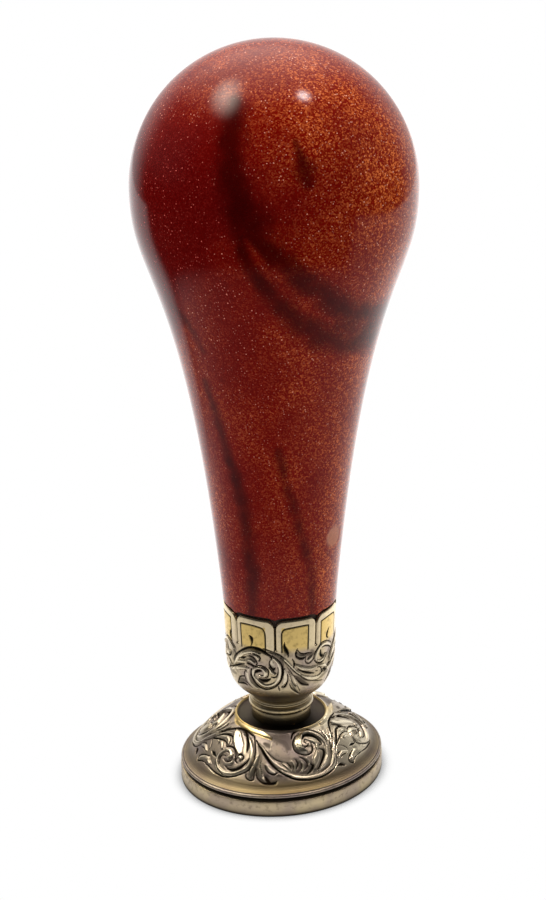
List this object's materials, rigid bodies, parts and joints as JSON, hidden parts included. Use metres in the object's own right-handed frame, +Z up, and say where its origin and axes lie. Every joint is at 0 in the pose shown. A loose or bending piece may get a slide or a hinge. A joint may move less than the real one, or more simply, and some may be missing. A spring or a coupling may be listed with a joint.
{
  "type": "wax seal stamp",
  "caption": "Desk wax seal stamp: pear-shaped aventurine glass handle set in a lappet cup on a chased oval metal base with a flat matrix plate.",
  "frame": {"origin": "middle of the matrix face, the flat oval underside that the stamp stands on", "axes": "+Z up along the handle, +X along the long axis of the oval base"},
  "size_m": [0.0326, 0.0326, 0.09],
  "materials": {
    "goldstone_glass": "polished brown-red aventurine glass with fine copper flecks and dark swirls",
    "chased_gilt_metal": "chased scrolls, worn gilding with dark patina in the lines",
    "turned_gilt_metal": "turned and polished, lightly tarnished",
    "plate_metal": "plain band, mottled pinkish tarnish",
    "dark_cement": "dark setting cement",
    "pitch_filling": "dark pitch",
    "peg_brass": "plain turned brass"
  },
  "bodies": {
    "root": {"goldstone_handle": "goldstone_glass", "lappet_cup": "chased_gilt_metal", "neck_ring": "turned_gilt_metal", "base_dome": "chased_gilt_metal", "rim_bead": "turned_gilt_metal", "matrix_plate": "plate_metal", "setting_cement": "dark_cement", "base_filling": "pitch_filling", "handle_peg": "peg_brass", "peg_washer": "peg_brass", "peg_nut": "peg_brass"}
  },
  "joints": []
}
